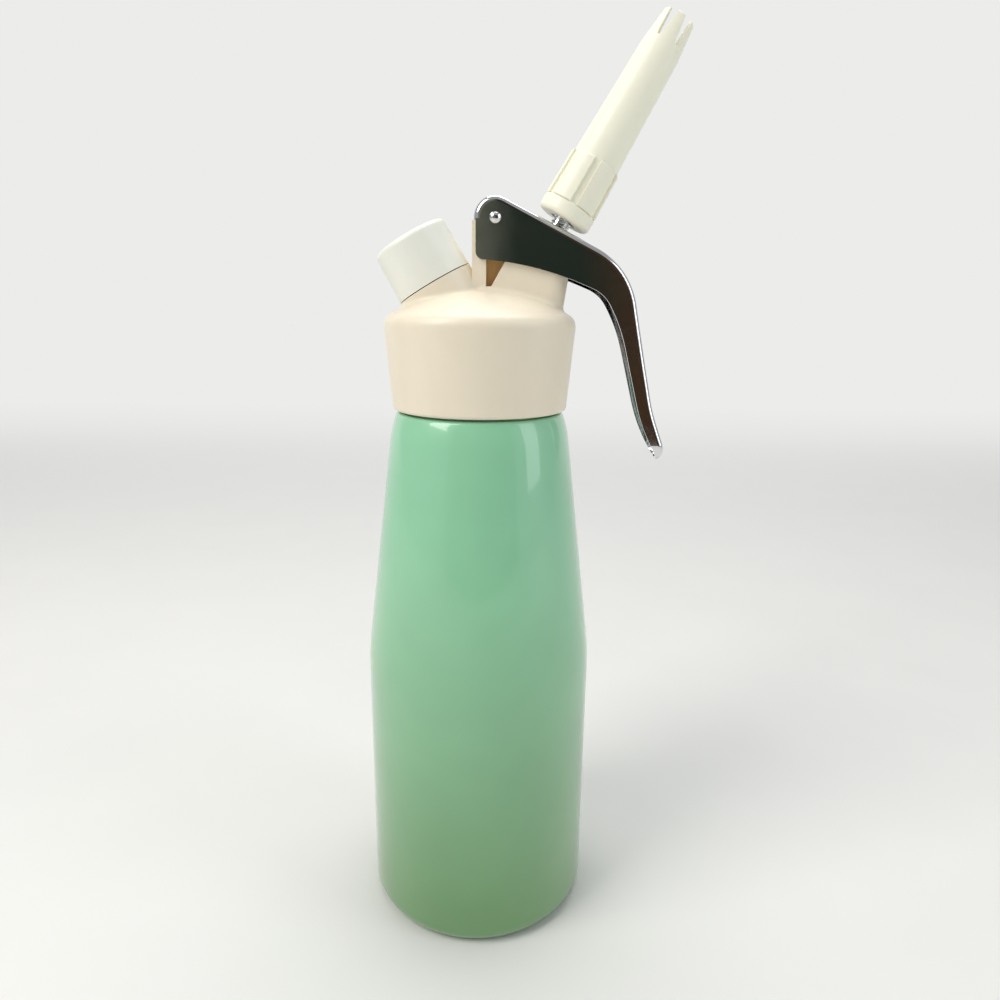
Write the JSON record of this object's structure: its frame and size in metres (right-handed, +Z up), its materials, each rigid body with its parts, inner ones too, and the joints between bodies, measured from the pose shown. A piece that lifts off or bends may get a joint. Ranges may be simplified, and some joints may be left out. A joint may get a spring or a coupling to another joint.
{
  "type": "whipped_cream_dispenser",
  "caption": "Whipped cream dispenser with mint-green bottle, cream plastic head, chrome squeeze lever, slotted decorating nozzle and screw cap over the charging valve",
  "frame": {"origin": "centre of the bottle's flat base, on the bottle's axis", "axes": "+Z up along the bottle's axis, +X to the lever and nozzle, +Y away from the picture's viewer"},
  "size_m": [0.1036, 0.08, 0.3044],
  "materials": {
    "lacquer": "gloss",
    "silicone_red": "satin",
    "cream_plastic": "satin",
    "ring_aluminium": "satin",
    "nickel_steel": "satin",
    "needle_steel": "polished",
    "black_rubber": "matte",
    "white_plastic": "satin",
    "liner_plastic": "matte",
    "chrome_parts": "polished",
    "spring_steel": "satin",
    "ivory_plastic": "satin",
    "mirror_chrome": "polished"
  },
  "bodies": {
    "bottle_body": {"bottle": "lacquer"},
    "head_carrier": {"head_gasket": "silicone_red"},
    "head_body": {"head": "cream_plastic", "thread_ring": "ring_aluminium", "valve_guide": "nickel_steel", "stem_oring": "black_rubber", "charging_stud": "nickel_steel", "stud_washer": "black_rubber", "stud_nut": "nickel_steel", "piercing_needle": "needle_steel", "charger_seal": "black_rubber", "check_valve_sleeve": "black_rubber", "lever_pin": "chrome_parts"},
    "lever_body": {"lever": "mirror_chrome"},
    "valve_body": {"valve_stem": "chrome_parts", "press_collar": "chrome_parts", "valve_seal": "black_rubber", "seal_nut": "nickel_steel", "valve_spring": "spring_steel"},
    "nozzle_carrier": {"nozzle_seal": "black_rubber"},
    "nozzle_body": {"nozzle": "ivory_plastic", "nozzle_insert": "nickel_steel"},
    "cap_carrier": {"cap_liner": "liner_plastic"},
    "cap_body": {"charging_cap": "white_plastic"}
  },
  "joints": [
    {"name": "head_rise", "type": "slide", "parent": "bottle_body", "child": "head_carrier", "axis": [0, 0, 1], "range_m": [0, 0.0075]},
    {"name": "head_turn", "type": "hinge", "parent": "head_carrier", "child": "head_body", "pos_m": [0, 0, 0.20047], "axis": [0, 0, 1], "range_deg": [0, 905]},
    {"name": "lever_pivot", "type": "hinge", "parent": "head_body", "child": "lever_body", "pos_m": [0.0048, 0, 0.24452], "axis": [0, 1, 0], "range_deg": [0, 10], "stiffness_Nm_per_rad": 1.5},
    {"name": "valve_travel", "type": "slide", "parent": "head_body", "child": "valve_body", "axis": [-0.5, 0, -0.866], "range_m": [0, 0.0036], "deforming": ["valve_spring"]},
    {"name": "nozzle_rise", "type": "slide", "parent": "valve_body", "child": "nozzle_carrier", "axis": [0.5, 0, 0.866], "range_m": [0, 0.008]},
    {"name": "nozzle_turn", "type": "hinge", "parent": "nozzle_carrier", "child": "nozzle_body", "pos_m": [0.0302, 0, 0.25133], "axis": [0.5, 0, 0.866], "range_deg": [0, 1450]},
    {"name": "cap_rise", "type": "slide", "parent": "head_body", "child": "cap_carrier", "axis": [-0.5, 0, 0.866], "range_m": [0, 0.014]},
    {"name": "cap_turn", "type": "hinge", "parent": "cap_carrier", "child": "cap_body", "pos_m": [-0.0213, 0, 0.23592], "axis": [-0.5, 0, 0.866], "range_deg": [0, 2535]}
  ],
  "couplings": [
    {"joint": "head_turn", "follows": "head_rise", "rad_per_m": 2094.4},
    {"joint": "valve_travel", "follows": "lever_pivot", "m_per_rad": 0.0195},
    {"joint": "nozzle_turn", "follows": "nozzle_rise", "rad_per_m": 3141.6},
    {"joint": "cap_turn", "follows": "cap_rise", "rad_per_m": 3141.6}
  ]
}
